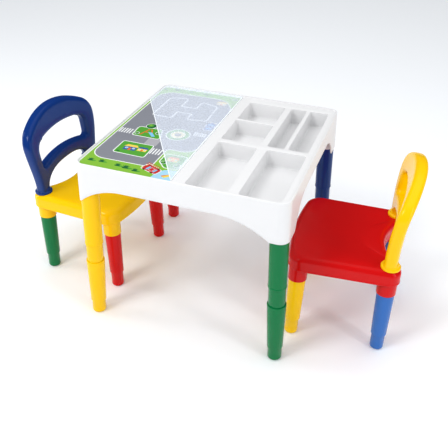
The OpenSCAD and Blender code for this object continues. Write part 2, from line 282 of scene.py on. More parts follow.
def rounded_profile(corners):
    """Profile through (radius, height, rounding) corners; a rounding of 0 leaves its corner sharp."""
    out = [corners[0][:2]]
    for before, (radius, height, rounding), after in zip(corners, corners[1:], corners[2:]):
        corner = (radius, height)
        out += fillet(corner, before[:2], after[:2], rounding) if rounding else [corner]
    return out + [corners[-1][:2]]


def slanted(foot, run):
    """Places a leg drawn upright at the origin on its slanting line."""
    direction = Vector((run[0], run[1], math.sqrt(1 - run[0] ** 2 - run[1] ** 2)))
    turn = Vector((0, 0, 1)).rotation_difference(direction).to_matrix().to_4x4()
    return Matrix.Translation((foot[0] * MM, foot[1] * MM, 0)) @ turn


def stand_flat(piece):
    """A slanting leg's sole is cut level with the floor."""
    for vertex in piece.data.vertices:
        vertex.co.z = max(0.0, vertex.co.z)


# ---------- materials ----------


def feed(tree, target, inputs):
    """Fills a node's inputs, each with a value or with a link from an output."""
    for key, value in inputs.items():
        if isinstance(value, bpy.types.NodeSocket):
            tree.links.new(value, target.inputs[key])
        else:
            target.inputs[key].default_value = value


def node(tree, kind, inputs, **settings):
    new = tree.nodes.new(kind)
    for key, value in settings.items():
        setattr(new, key, value)
    feed(tree, new, inputs)
    return new


def new_material(name):
    material = bpy.data.materials.new(name)
    material.use_nodes = True
    return material, material.node_tree, material.node_tree.nodes["Principled BSDF"]


def noise(tree, place, scale, detail, **more):
    inputs = {"Vector": place, "Scale": scale, "Detail": detail, **more}
    return node(tree, "ShaderNodeTexNoise", inputs).outputs["Fac"]


def ranged(tree, source, inputs):
    return node(tree, "ShaderNodeMapRange", {"Value": source, **inputs}).outputs["Result"]


def mix(tree, factor, a, b):
    return node(tree, "ShaderNodeMix", {"Factor": factor, "A": a, "B": b}, data_type="RGBA").outputs["Result"]


def shade(colour, darker=0.0, paler=0.0):
    """An opaque colour, scaled towards black or moved towards white."""
    return (*[c * (1 - darker) + (1 - c) * paler for c in colour], 1)


def plastic(name, colour, rough=0.24, mottle=0.02, grain=0.03, shine=0.42, edge_highlight=0.35):
    """Glossy moulded plastic: faint mottling, patchy gloss, fine orange-peel, and a painted highlight that
    makes sharp edges a little paler.
    """
    material, tree, shader = new_material(name)
    place = node(tree, "ShaderNodeTexCoord", {}).outputs["Object"]
    bright = (*[min(1, c * (1 + mottle)) for c in colour], 1)
    tint = mix(tree, noise(tree, place, 7, 3), shade(colour, darker=mottle), bright)
    # painted highlight on sharp convex edges: a little paler, broken up by fine noise
    pointed = node(tree, "ShaderNodeNewGeometry", {}).outputs["Pointiness"]
    painted_edge_highlight = ranged(tree, pointed, {"From Min": 0.56, "From Max": 0.72, "To Max": edge_highlight})
    highlight_breakup = noise(tree, place, 180, 5)
    painted_highlight_mask = node(tree, "ShaderNodeMath", {0: painted_edge_highlight, 1: highlight_breakup}, operation="MULTIPLY").outputs["Value"]
    scuffs = noise(tree, place, 35, 6, Roughness=0.65)
    peel = noise(tree, place, 260, 2)
    bump = node(tree, "ShaderNodeBump", {"Strength": grain, "Distance": 0.0008, "Height": peel})
    # the paler colour mixed in on sharp edges is a painted highlight
    feed(tree, shader, {"Base Color": mix(tree, painted_highlight_mask, tint, shade(colour, paler=0.35)),
                        "Roughness": ranged(tree, scuffs, {"To Min": rough - 0.03, "To Max": rough + 0.05}),
                        "Normal": bump.outputs["Normal"], "IOR": 1.49, "Specular IOR Level": shine})
    return material


def see_through(material, alpha):
    material.node_tree.nodes["Principled BSDF"].inputs["Alpha"].default_value = alpha
    return material


CLEAN = {"mottle": 0.01, "grain": 0.01, "edge_highlight": 0}
HAZE = see_through(plastic("cover_haze", (0.85, 0.90, 0.985), rough=0.16, **CLEAN), 0.41)
HAZE_EDGE = see_through(plastic("cover_edge", (0.92, 0.95, 0.98), rough=0.2, **CLEAN), 0.96)
PLASTICS = {
    "white": plastic("white_plastic", (0.80, 0.80, 0.806), rough=0.3, mottle=0.006, edge_highlight=0),
    "yellow": plastic("yellow_plastic", (0.96, 0.60, 0.0), rough=0.2, shine=0.34),
    "red": plastic("red_plastic", (0.64, 0.003, 0.004), rough=0.22, shine=0.34),
    "navy_blue": plastic("navy_blue_plastic", (0.006, 0.045, 0.22), rough=0.17, shine=0.4),
    "mid_blue": plastic("mid_blue_plastic", (0.045, 0.175, 0.50), rough=0.2, shine=0.36),
    "green": plastic("green_plastic", (0.0, 0.20, 0.062), rough=0.16, shine=0.38),
    "clear_plastic": HAZE}
SLOTS = {part["node"]: part["material_slot"] for part in frame["record"]["subparts"]}

# ---------- table top ----------

# Skirt arches, along the skirt: where the flat ends, and the radii of the flares
FRONT_ARCH = (-139, 90, 168, 211, 400)
SIDE_ARCH = (-110, 110, 90, 90, 418)
SOCKET_TOP = 411.0
SOCKET_R = CORNER_R - 0.3
SOCKET_BORE_R = 22.8
HIDDEN_WALL = 1.2  # how deep the skirt's skin goes where a socket tube backs it
TUBE_REACH = 13.0  # how far along the skirt a socket tube backs it, from the corner's centre
HEM = 1.3  # height of the skirt's rounded lower edge


def arch_height(arch, u):
    """Height of a skirt's lower edge at distance u along it."""
    left, right, left_r, right_r, z = arch
    over, radius = (left - u, left_r) if u < left else (u - right, right_r)
    if left <= u <= right:
        return z
    if over >= radius:
        return SOCKET_Z
    return max(SOCKET_Z, z - radius + math.sqrt(radius ** 2 - over ** 2))


def lower_edge(x, y):
    """Height that the two pairs of arches leave above a point of the plan."""
    return max(arch_height(FRONT_ARCH, x), arch_height(SIDE_ARCH, y))


def skirt_samples():
    """Round the table: (side or corner, which, position, lower edge height)."""
    join = CORNER_C - TUBE_REACH - 1
    near_joins = [-join - 2, -join + 2, join - 2, join + 2]
    along = np.unique(np.concatenate([np.linspace(-CORNER_C, CORNER_C, 61), near_joins]))
    samples = []
    for side in range(4):
        places = [("side", side, u) for u in along[:-1]]
        places += [("corner", side, degrees) for degrees in np.linspace(-90, 0, 15)[:-1]]
        for kind, which, position in places:
            low = SOCKET_Z
            for _ in range(4):
                low = lower_edge(*skirt_point((kind, which, position, low), 0, low)[:2])
            samples.append((kind, which, position, low))
    return samples


def skirt_point(sample, inset, z):
    """Point of the table's leaning outer wall, moved inwards by inset."""
    kind, side, position, _ = sample
    if z < SOCKET_TOP and (kind == "corner" or abs(position) > CORNER_C - TUBE_REACH):
        inset = min(inset, HIDDEN_WALL)
    spread = CORNER_C + LEAN * (TABLE_H - z)
    radius = CORNER_R - inset
    if kind == "side":
        local = (position * spread / CORNER_C, -(spread + radius))
    else:
        angle = math.radians(position)
        local = (spread + radius * math.cos(angle), -spread + radius * math.sin(angle))
    for _ in range(side):
        local = (-local[1], local[0])
    return (local[0], local[1], z)


def build_socket(name, sx, sy):
    """Tube that a leg plugs into; its mouth follows the arches, and a roof closes its top."""
    bore, outer, roof = SOCKET_BORE_R, SOCKET_R, SOCKET_TOP - 3
    # radius, and height: above the mouth, or in the row frame where it is fixed
    profile = [(bore, roof, True), (bore, 12.0, False), (bore, 0.9, False), (bore + 0.5, 0.4, False),
               (outer - 0.5, 0.4, False), (outer, 0.9, False), (outer, 12.0, False),
               (outer, SOCKET_TOP - 0.8, True), (outer - 0.8, SOCKET_TOP, True),
               (AXIS_R, SOCKET_TOP, True), (AXIS_R, roof, True)]
    rings = []
    for radius, height, fixed in profile:
        ring = []
        for angle in np.linspace(0, 2 * math.pi, 73)[:-1]:
            z = height if fixed else SOCKET_Z + height
            for _ in range(4):
                spread = CORNER_C + LEAN * (TABLE_H - z)
                x, y = sx * spread + radius * math.cos(angle), sy * spread + radius * math.sin(angle)
                if not fixed:
                    z = min(lower_edge(x, y) + height, SOCKET_TOP - 6)
            ring.append((x, y, z))
        rings.append(ring)
    socket = Shell()
    socket.loft(rings, cyclic=True)
    return socket.object("table_socket_" + name)


def build_table_top():
    samples = skirt_samples()
    underside = DECK_Z - DECK_T
    round_z = TABLE_H - 2.2  # where the rim's round runs into the skirt
    recess_wall = [(6.2, DECK_Z), (5.0, DECK_Z + 0.25), (4.3, DECK_Z + 0.9), (4.0, DECK_Z + 2.0)]
    rim = [(4.0, TABLE_H - 1.0), (3.7, TABLE_H - 0.3), (3.0, TABLE_H), (2.2, TABLE_H), (1.0, TABLE_H - 0.35),
           (0.3, TABLE_H - 1.05), (0.0, round_z)]
    hem = ((0.4, 0.4), (HEM, 0.0), (WALL - HEM, 0.0), (WALL - 0.4, 0.4), (WALL, HEM))
    rings = []
    for inset, z in recess_wall + rim:
        rings.append([skirt_point(s, inset, z) for s in samples])
    for t in np.linspace(0.06, 1, 9):
        rings.append([skirt_point(s, 0, round_z + (s[3] + HEM - round_z) * t) for s in samples])
    for inset, rise in hem:
        rings.append([skirt_point(s, inset, s[3] + rise) for s in samples])
    for t in np.linspace(0.12, 1, 6):
        rings.append([skirt_point(s, WALL, s[3] + HEM + (underside - 3 - s[3] - HEM) * t) for s in samples])
    rings.append([skirt_point(s, WALL + 0.9, underside - 0.9) for s in samples])
    rings.append([skirt_point(s, WALL + 3, underside) for s in samples])
    shell = Shell()
    shell.loft(rings, cyclic=True)
    rim_piece = shell.object("table_frame")

    deck = Shell()
    inner = 5.0
    edge = HALF_W - inner
    outline = rounded_rect(-edge, edge, -edge, edge, CORNER_R - inner, 9)
    plate(deck, outline, [rounded_rect(*TRAY_WINDOW, 12, 7)], underside, DECK_Z, 0.6, 2)
    deck_piece = deck.object("table_deck")

    ribs = Shell()
    spans = [((-edge - 0.5, y), (-10, y)) for y in (-RIB_Y, RIB_Y)]
    spans.append(((RIB_X, -edge - 0.5), (RIB_X, edge + 0.5)))
    for start, end in spans:
        ribs.loft(rib_rings(start, end, underside + 0.5, underside - RIB_DEPTH, 3.0, 2.0))
    rib_piece = ribs.object("table_ribs")

    pieces = [rim_piece, deck_piece, rib_piece]
    pieces += [build_socket(name, sx, sy) for name, sx, sy in TABLE_LEGS]
    for piece in pieces:
        finish_piece(piece, "table", "white")
    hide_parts("table_top")


def rib_rings(start, end, top, low, thick, thin):
    """Tapered rib from start to end, hanging from top to low, with an eased lower edge."""
    a, b = np.array(start, float), np.array(end, float)
    across = np.array([-(b - a)[1], (b - a)[0]]) / np.linalg.norm(b - a)
    half_section = [(top, thick), (low + 0.8, thin), (low, thin - 0.5)]
    section = [(1, z, w) for z, w in half_section] + [(-1, z, w) for z, w in reversed(half_section)]
    rings = []
    for t in np.linspace(0, 1, 3):
        p = a + (b - a) * t
        rings.append([(*(p + across * side * w / 2), z) for side, z, w in section])
    return rings


TABLE_LEGS = [("front_left", -1, -1), ("front_right", 1, -1), ("back_right", 1, 1), ("back_left", -1, 1)]
TRAY_WINDOW = (-5, 245, -252, 232)
RIB_X, RIB_Y, RIB_DEPTH = -132.5, 85, 14
# Tray compartments: two ends along X, two along Y, and the four corner radii
COMPARTMENTS = [(17, 120, 110, 223, 6, 6, 6, 6), (17, 120, -16, 102, 6, 6, 6, 6),
                (137, 180, -16, 223, 6, 6, 6, 6), (190, 240, -16, 223, 6, 6, 6, 6),
                (18, 119, -252.5, -33, 8, 8, 8, 8), (143, 241, -252.5, -33, 16, 8, 8, 8)]


def build_tray():
    """Flat top with six mouths, each running on into a pocket with drafted walls and a coved floor."""
    shell = Shell()
    left, low, edge, top = TRAY_LOW[0], TRAY_LOW[2], TRAY_HIGH[0], TRAY_HIGH[2]
    outline = rounded_rect(left, edge, -edge, edge, [18, 18, 1.5, 1.5], 9)
    mouths = [rounded_rect(x0, x1, y0, y1, radii, 7) for x0, x1, y0, y1, *radii in COMPARTMENTS]
    plate(shell, outline, mouths, DECK_Z, top, 1.0, 4)
    floor = low + 2.4
    tucked, middle, draft, cove = -2.0, 12, 1.1, 4.5
    wall_top = top - 1.1
    for x0, x1, y0, y1, *radii in COMPARTMENTS:
        def ring(inset, z):
            r = [max(0.8, radius - inset) for radius in radii]
            return [(x, y, z) for x, y in rounded_rect(x0 + inset, x1 - inset, y0 + inset, y1 - inset, r, 7)]
        pocket = [ring(tucked, top - 1.6), ring(-0.02, wall_top)]
        fall = floor + cove - wall_top
        pocket += [ring(0.02 + draft * t, wall_top + fall * t) for t in (0.25, 0.5, 0.75, 1)]
        for t in np.radians(np.linspace(18, 90, 5)):
            pocket.append(ring(0.02 + draft + cove * (1 - math.cos(t)), floor + cove - cove * math.sin(t)))
        pocket.append(ring(middle, floor))
        shell.loft(pocket, close_start=False)
        under = [ring(middle, low), ring(5.5, low), ring(1.6, low + 0.9), ring(-0.2, low + 3.2),
                 ring(tucked, top - 8), ring(tucked, top - 1.6)]
        shell.loft(under, close_end=False)
    tray = shell.object("organiser_tray_moulding")
    finish_piece(tray, "table", "white", "organiser_tray")


# ---------- legs ----------


FOOT_ROUND = 6.0
# Turned profiles as (radius, height), some with a rounding; the legs stand upright at the origin here
UPPER_LEG = [(16.5, 142, 0), (19.0, 142, 0.8), (19.0, 172, 0.3),
             (21.1, 172, 0.4), (21.1, 223.6, 0.2), (22.9, 223.6, 0.6), (22.9, 227.4, 0.9), (22.2, 228.4, 0.3),
             (22.6, 355, 0), (22.6, 407.5, 0.8), (20.1, 407.5, 0.8), (20.1, 355, 0), (17.5, 225, 0),
             (16.5, 172, 0)]
LOWER_LEG = [(18.3, 36.6), (19.6, 37.6), (20.0, 39.2), (23.3, 165), (23.4, 168),
             (23.4, 170.9), (23.1, 171.6), (22.4, 171.8), (19.9, 171.8), (19.3, 171.3), (19.2, 170.4),
             (19.2, 137), (16.6, 135), (15.3, 40), (15.3, 8), (11.5, 4.2), (0.3, 4.0)]
CHAIR_LEG = [(17.4, 44.6), (18.9, 45.6), (19.35, 47.2), (21.7, 178), (21.8, 219.6), (21.3, 220.6), (20, 220.8),
             (19.4, 220.2), (19.2, 178), (16.2, 50), (14.3, 46), (14.3, 8), (10.5, 4.2), (0.3, 4.0)]


def foot_points(radius, step_z):
    """Foot profile from the middle of the sole up to the ankle step."""
    rounding = FOOT_ROUND
    points = [(0.3, 0.2), (radius - rounding, 0.0)]
    points += [(radius - rounding + rounding * math.sin(a), rounding - rounding * math.cos(a))
               for a in np.radians(np.linspace(12, 90, 8))]
    return points + [(radius + 0.15, step_z - 2.2)]


def build_table_legs():
    for name, sx, sy in TABLE_LEGS:
        slot = SLOTS["upper_leg_" + name]
        place = slanted((sx * FOOT_C, sy * FOOT_C), (-sx * LEAN, -sy * LEAN))
        upper = Shell()
        upper.loft(revolve(rounded_profile(UPPER_LEG), 96), cyclic=True)
        piece = upper.object("upper_leg_tube_" + name, place)
        finish_piece(piece, "table", slot, "upper_leg_" + name)

        lower = Shell()
        lower.loft(revolve(foot_points(17.8, 38) + LOWER_LEG, 96))
        piece = lower.object("lower_leg_tube_" + name, place)
        stand_flat(piece)
        finish_piece(piece, "table", slot, "lower_leg_" + name)


# ---------- chairs ----------

SEAT_W = 302.0
SEAT_TAPER = 12.0
SEAT_FRONT = 144.0
SEAT_FRONT_R = 36.0
SEAT_REAR_R = 28.0
SEAT_BOW_R = 640.0
SEAT_DIP = 46.0
SEAT_CENTRE_X = 14.0
SEAT_EDGE = 15.0  # round of the seat's upper edge
SEAT_LIP = 0.8  # how far the wall stands in from the skirt's band
DISH = 3.5  # depth of the hollow to sit in
POST = (-109.0, SEAT_W / 2 - SEAT_TAPER / 2 - SEAT_REAR_R)
POST_R = 18.5
CHAIR_LEAN = (4.6 / 253, 9.1 / 253)
CHAIR_FOOT_C = {1: (109.0, 131.0), -1: (113.0, 123.0)}  # front and rear
CHAIR_CORNERS = [(-1, -1), (-1, 1), (1, -1), (1, 1)]


def seat_ring(inset, z, soften=0.0, shrink=0.0, per_corner=11, per_side=15):
    """Outline of the seat at one level: bowed front, tapering sides, rear edge hollowed between the posts.
    soften makes its corners rounder, and shrink draws it in towards the middle of the seat."""
    front_r, rear_r = SEAT_FRONT_R - inset + soften, SEAT_REAR_R - inset + soften * 0.35
    bow_r, bow_x = SEAT_BOW_R - inset, SEAT_FRONT - SEAT_BOW_R
    front_y = SEAT_W / 2 - inset - front_r
    front_x = bow_x + math.sqrt((bow_r - front_r) ** 2 - front_y ** 2)
    rear_x, rear_y = POST[0] - SEAT_REAR_R + inset + rear_r, POST[1] + SEAT_REAR_R - inset - rear_r
    run = (front_x - rear_x, front_y - rear_y)
    side = math.degrees(math.atan2(run[1], run[0]) + math.acos((rear_r - front_r) / math.hypot(*run)))
    bow = math.degrees(math.asin(front_y / (bow_r - front_r)))
    middle = POST[0] - SEAT_REAR_R + SEAT_DIP + inset
    back = rear_x - middle
    dip_r = (back ** 2 + rear_y ** 2 - rear_r ** 2) / (2 * (rear_r - back))
    dip = math.degrees(math.atan2(rear_y, rear_x - middle + dip_r))
    half = arc((bow_x, 0), bow_r, 0, bow, per_side)[1:-1]
    half += arc((front_x, front_y), front_r, bow, side, per_corner)
    start, end = half[-1], arc((rear_x, rear_y), rear_r, side, 180 + dip, per_corner + 6)
    half += [(start[0] + (end[0][0] - start[0]) * t, start[1] + (end[0][1] - start[1]) * t)
             for t in np.linspace(0, 1, per_side)[1:-1]]
    half += end + arc((middle - dip_r, 0), dip_r, dip, 0, per_side)[1:]
    outline = [(bow_x + bow_r, 0.0)] + half + [(x, -y) for x, y in reversed(half[:-1])]
    keep = 1 - shrink
    return [(SEAT_CENTRE_X + (x - SEAT_CENTRE_X) * keep, y * keep, z) for x, y in outline]


def build_seat(colour, body, node_name, matrix):
    slot = SLOTS[node_name]
    softest = 16
    rings = []
    for step in (0.97, 0.88, 0.76, 0.62, 0.48, 0.34, 0.22, 0.12, 0.05):
        z = SEAT_H - DISH * (1 - math.cos(math.pi * min(1, step / 0.6))) / 2
        rings.append(seat_ring(SEAT_EDGE, z, soften=softest, shrink=step))
    for t in np.radians((90, 80, 68, 56, 44, 33, 22, 11, 0)):
        inset = SEAT_LIP + (SEAT_EDGE - SEAT_LIP) * (1 - math.cos(t))
        z = SEAT_H - SEAT_EDGE + SEAT_EDGE * math.sin(t)
        rings.append(seat_ring(inset, z, soften=softest * math.sin(t) ** 2))
    wall = [(SEAT_LIP, SEAT_H - SEAT_EDGE - 5), (SEAT_LIP, SKIRT_Z + 6), (0.5, SKIRT_Z + 4.6),
            (0.05, SKIRT_Z + 3.8), (0.0, SKIRT_Z + 1), (0.6, SKIRT_Z), (2.2, SKIRT_Z), (2.8, SKIRT_Z + 0.7),
            (3.0, SKIRT_Z + 2), (3.6, SEAT_H - 12), (5.2, SEAT_H - 7.5), (8.5, SEAT_H - 5)]
    rings += [seat_ring(inset, z) for inset, z in wall]
    for z, shrink in ((SEAT_H - 7.6, 0.0), (SEAT_H - 7.8, 0.45), (SEAT_H - 7.8, 0.97)):
        rings.append(seat_ring(14, z, shrink=shrink))
    shell = Shell()
    shell.loft(rings)
    seat = shell.object(node_name + "_moulding", matrix)
    finish_piece(seat, body, slot, node_name)

    bore, outer, mouth, top_z = 22.0, 23.55, CHAIR_SOCKET_Z + 0.3, SEAT_H - 9
    tube = [(bore, 221, 0), (bore, mouth, 0.4), (outer, mouth, 0.5), (outer, top_z, 1.5), (AXIS_R, top_z, 0)]
    for sx, sy in CHAIR_CORNERS:
        socket = Shell()
        socket.loft(revolve(rounded_profile(tube) + [(AXIS_R, 221)], 72), cyclic=True)
        name = f"{colour}_chair_socket_{corner_name(sx, sy)}"
        finish_piece(socket.object(name, matrix @ chair_slant(sx, sy)), body, slot)


def corner_name(sx, sy):
    return ("front" if sx > 0 else "rear") + ("_left" if sy > 0 else "_right")


def chair_slant(sx, sy):
    foot = CHAIR_FOOT_C[sx]
    return slanted((sx * foot[0], sy * foot[1]), (-sx * CHAIR_LEAN[0], -sy * CHAIR_LEAN[1]))


def build_chair_legs(colour, body, matrix):
    for sx, sy in CHAIR_CORNERS:
        node_name = f"{colour}_chair_leg_{corner_name(sx, sy)}"
        slot = SLOTS[node_name]
        leg = Shell()
        leg.loft(revolve(foot_points(16.8, 46) + CHAIR_LEG, 96))
        piece = leg.object(node_name + "_tube", matrix @ chair_slant(sx, sy))
        stand_flat(piece)
        finish_piece(piece, body, slot, node_name)


# Backrest, seen from the front: across and up
BACK_HALF_W = 152.0
BACK_ARCH_R = 255.0
BACK_CORNER_R = 55.0
BACK_T = 30.0
BACK_BOW = 8.0
BACK_PLAN_R = (POST[1] ** 2 + BACK_BOW ** 2) / (2 * BACK_BOW)
BACK_EDGE = 10.5  # round of its edges
RAIL_Z = 302.0  # lower edge of its lower rail
LEAN_Z = 278.4  # it leans back from this height on
LEAN_R = 800.0
# Collar and plug of each post: radius, height and rounding
COLLAR = [(AXIS_R, SEAT_H + 14, 0), (17.2, SEAT_H + 14, 3), (19.2, SEAT_H + 7, 3), (23.4, SEAT_H + 4.6, 1.2),
          (23.45, SEAT_H - 0.8, 0.8), (16.8, SEAT_H - 0.8, 0.5), (16.6, 226.5, 1.5), (AXIS_R, 226.5, 0)]


def back_surface(y, z):
    """Middle of the backrest's thickness, front to back, at one place of its face."""
    axis = POST[0] + math.sqrt(BACK_PLAN_R ** 2 - POST[1] ** 2)
    radius = BACK_PLAN_R + max(0.0, z - LEAN_Z) ** 2 / (2 * LEAN_R)
    return axis - math.sqrt(radius ** 2 - y ** 2)


def back_outline():
    """Counter-clockwise: right post, arched top, left post, then under the lower rail."""
    side, corner_y = BACK_HALF_W, BACK_HALF_W - BACK_CORNER_R
    rise = math.sqrt((BACK_ARCH_R - BACK_CORNER_R) ** 2 - corner_y ** 2)
    corner_z = CHAIR_H - BACK_ARCH_R + rise
    meet = math.degrees(math.atan2(rise, corner_y))
    post_out, post_in = POST[1] + POST_R, POST[1] - POST_R
    foot_z = SEAT_H - 8
    half = []
    for z in np.linspace(foot_z, corner_z, 22)[:-1]:
        t = max(0.0, min(1.0, (z - SEAT_H - 2) / (corner_z - SEAT_H - 2)))
        half.append((post_out + (side - post_out) * (3 * t * t - 2 * t ** 3), z))
    half += arc((corner_y, corner_z), BACK_CORNER_R, 0, meet, 16)
    half += arc((0, CHAIR_H - BACK_ARCH_R), BACK_ARCH_R, meet, 90, 16)[1:]
    under = [(post_in, foot_z), (post_in, SEAT_H - 2), (post_in, SEAT_H + 3)]
    spring_z = SEAT_H + 8
    for a in np.radians(np.linspace(0, 90, 22)):
        under.append((post_in * math.cos(a) ** 0.72, spring_z + (RAIL_Z - spring_z) * math.sin(a)))

    def mirror(points):
        return [(-y, z) for y, z in reversed(points)]
    return half + mirror(half)[1:] + list(reversed(mirror(under)))[:-1] + list(reversed(under))


def back_hole():
    """Grip hole, counter-clockwise: arched top and bottom, round upper corners, tighter lower corners."""
    half_w, top, low, arch_r = 110.0, 407.0, 338.0, 420.0
    big_r, small_r = 26.0, 9.0

    def drop(y):
        return arch_r - math.sqrt(arch_r ** 2 - y ** 2)
    half = [(y, low - drop(y)) for y in np.linspace(0, half_w - small_r, 12)]
    half += arc((half_w - small_r, half[-1][1] + small_r), small_r, -80, 0, 7)
    half += arc((half_w - big_r, top - drop(half_w) - big_r + 3), big_r, 0, 84, 11)
    half += [(y, top - drop(y)) for y in np.linspace(half_w - big_r - 4, 0, 10)]
    return half + [(-y, z) for y, z in reversed(half)][1:-1]


def inside(points, loop):
    """Which points lie inside a closed outline."""
    x, y = points[:, 0], points[:, 1]
    hit = np.zeros(len(points), bool)
    for i, a in enumerate(loop):
        b = loop[(i + 1) % len(loop)]
        crosses = (a[1] > y) != (b[1] > y)
        if abs(b[1] - a[1]) > 1e-12:
            hit ^= crosses & (x < (b[0] - a[0]) * (y - a[1]) / (b[1] - a[1]) + a[0])
    return hit


def nearest(points, loops):
    """Distance from each point to the nearest outline."""
    best = np.full(len(points), 1e9)
    for loop in loops:
        for i, a in enumerate(loop):
            a, b = np.array(a), np.array(loop[(i + 1) % len(loop)])
            span = b - a
            t = np.clip(((points - a) @ span) / max(span @ span, 1e-9), 0, 1)
            best = np.minimum(best, np.linalg.norm(points - (a + t[:, None] * span), axis=1))
    return best


def wind(flat, tris):
    """Turns every triangle counter-clockwise, in place; gives twice their areas."""
    a, b, c = flat[tris[:, 0]], flat[tris[:, 1]], flat[tris[:, 2]]
    area = (b[:, 0] - a[:, 0]) * (c[:, 1] - a[:, 1]) - (b[:, 1] - a[:, 1]) * (c[:, 0] - a[:, 0])
    tris[area < 0] = tris[area < 0][:, ::-1]
    return area


def two_sided(tris, count):
    """Faces of a closed slab: one side, the other side count points on, and the walls round their borders."""
    faces = [tuple(t) for t in tris] + [tuple(count + i for i in reversed(t)) for t in tris]
    directed = {(t[i], t[(i + 1) % 3]): True for t in tris for i in range(3)}
    return faces + [(j, i, count + i, count + j) for i, j in directed if (j, i) not in directed]


def build_backrest(body, node_name, matrix):
    """Slab with rounded edges, bowed in plan and leaning back, and a collar and plug for each post."""
    slot = SLOTS[node_name]
    edge, spacing = BACK_EDGE, 7.5
    outer = resample(back_outline(), 6.0)
    hole = resample(back_hole(), 6.0)
    insets = [edge * (1 - math.cos(math.radians(a))) for a in (14, 28, 42, 56, 70, 90)]
    points = [Vector(p) for p in outer + hole]
    edges = [(i, (i + 1) % len(outer)) for i in range(len(outer))]
    edges += [(len(outer) + i, len(outer) + (i + 1) % len(hole)) for i in range(len(hole))]
    extra = []
    for inset in insets:
        extra += inward(outer, inset) + inward(list(reversed(hole)), inset)
    levels = np.arange(SEAT_H, CHAIR_H, spacing)
    grid = np.array([(y, z) for y in np.arange(-150, 151, spacing) for z in levels])
    grid = grid[inside(grid, outer) & ~inside(grid, hole)]
    grid = grid[nearest(grid, [outer, hole]) > edge + 2.5]
    points += [Vector(p) for p in extra] + [Vector(p) for p in grid]
    flat, _, tris, *_ = delaunay_2d_cdt(points, edges, [], 0, 0.01)
    flat = np.array([tuple(p) for p in flat])
    tris = np.array(tris)
    middle = flat[tris].mean(axis=1)
    tris = tris[inside(middle, outer) & ~inside(middle, hole)]
    used = np.unique(tris)
    lookup = -np.ones(len(flat), int)
    lookup[used] = np.arange(len(used))
    flat, tris = flat[used], lookup[tris]
    away = nearest(flat, [outer, hole])
    t = np.clip(away / edge, 0, 1)
    half_t = BACK_T / 2 - edge + edge * np.sqrt(np.maximum(0, 1 - (1 - t) ** 2))
    mid = np.array([back_surface(y, z) for y, z in flat])
    front = np.stack([mid + half_t, flat[:, 0], flat[:, 1]], axis=1)
    rear = np.stack([mid - half_t, flat[:, 0], flat[:, 1]], axis=1)
    wind(flat, tris)
    shell = Shell()
    shell.add(np.concatenate([front, rear]), two_sided(tris.tolist(), len(flat)))
    collar = list(reversed(revolve(rounded_profile(COLLAR), 72)))
    for sy in (-1, 1):
        shell.loft([[(x + POST[0], y + sy * POST[1], z) for x, y, z in ring] for ring in collar])
    back = shell.object(node_name + "_moulding", matrix)
    finish_piece(back, body, slot, node_name)


# ---------- printed play sheet: a town plan of roads, greens and small buildings ----------


def printed(name, colour):
    """Printed card under a thin varnish: colour from fine ink dots, faint tone drift, satin gloss."""
    material, tree, shader = new_material("print_" + name)
    place = node(tree, "ShaderNodeTexCoord", {}).outputs["Object"]
    dots = node(tree, "ShaderNodeTexVoronoi", {"Vector": place, "Scale": 900, "Randomness": 0.25})
    drift = noise(tree, place, 14, 4)
    ink = mix(tree, dots.outputs["Distance"], shade(colour, darker=0.05), shade(colour, paler=0.05))
    feed(tree, shader, {"Base Color": mix(tree, drift, ink, shade(colour, darker=0.10)),
                        "Roughness": ranged(tree, drift, {"To Min": 0.34, "To Max": 0.46})})
    return material


INKS = {"grass": (0.27, 0.55, 0.05), "lawn": (0.11, 0.42, 0.045), "bush": (0.008, 0.17, 0.045),
        "road": (0.28, 0.29, 0.33), "line": (0.88, 0.90, 0.90), "patch": (0.46, 0.46, 0.49),
        "water": (0.42, 0.70, 0.86), "red": (0.62, 0.03, 0.03), "yellow": (0.90, 0.68, 0.12),
        "orange": (0.80, 0.20, 0.03), "blue": (0.04, 0.13, 0.42), "sky": (0.25, 0.60, 0.85),
        "sand": (0.84, 0.76, 0.48), "dark": (0.03, 0.03, 0.04)}


def rounded_polygon(corners, steps=6):
    """Outline through (x, y, radius) corners."""
    out = []
    for i, (x, y, r) in enumerate(corners):
        before, after = corners[i - 1][:2], corners[(i + 1) % len(corners)][:2]
        out += fillet((x, y), before, after, r, steps) if r else [(x, y)]
    return out


def disc(x, y, r, sides=20, stretch=1.0):
    return [(x + r * math.cos(2 * math.pi * i / sides), y + r * stretch * math.sin(2 * math.pi * i / sides))
            for i in range(sides)]


def bar(x0, y0, x1, y1):
    return [(x0, y0), (x1, y0), (x1, y1), (x0, y1)]


def moved(points, x, y, turn=0.0):
    c, s = math.cos(math.radians(turn)), math.sin(math.radians(turn))
    return [(x + c * u - s * v, y + s * u + c * v) for u, v in points]


def with_line(shapes, outline, ink, width=2.8):
    """A filled outline with a white line round it."""
    area = sum(a[0] * b[1] - b[0] * a[1] for a, b in zip(outline, outline[1:] + outline[:1]))
    outline = outline if area > 0 else list(reversed(outline))
    shapes.append(("line", inward(outline, -width)))
    shapes.append((ink, outline))


def tree_shapes(shapes, x, y, r):
    shapes.append(("line", disc(x, y, r + 1.6)))
    shapes.append(("bush", disc(x, y, r)))
    shapes.append(("lawn", disc(x - r * 0.2, y + r * 0.2, r * 0.62)))
    shapes.append(("grass", disc(x - r * 0.3, y + r * 0.35, r * 0.28, 12)))


def house_shapes(shapes, x, y, wall, roof, scale):
    """Small house seen from its front."""
    for ink, points in ((wall, bar(-14, -9, 14, 6)), (roof, [(-17, 6), (17, 6), (11, 15), (-11, 15)]),
                        ("line", bar(-11, -3, -5, 3)), ("line", bar(5, -3, 11, 3)),
                        ("sky", bar(-10, -2, -6, 2)), ("sky", bar(6, -2, 10, 2)),
                        ("orange", bar(-3, -9, 3, 1))):
        shapes.append((ink, moved([(u * scale, v * scale) for u, v in points], x, y)))


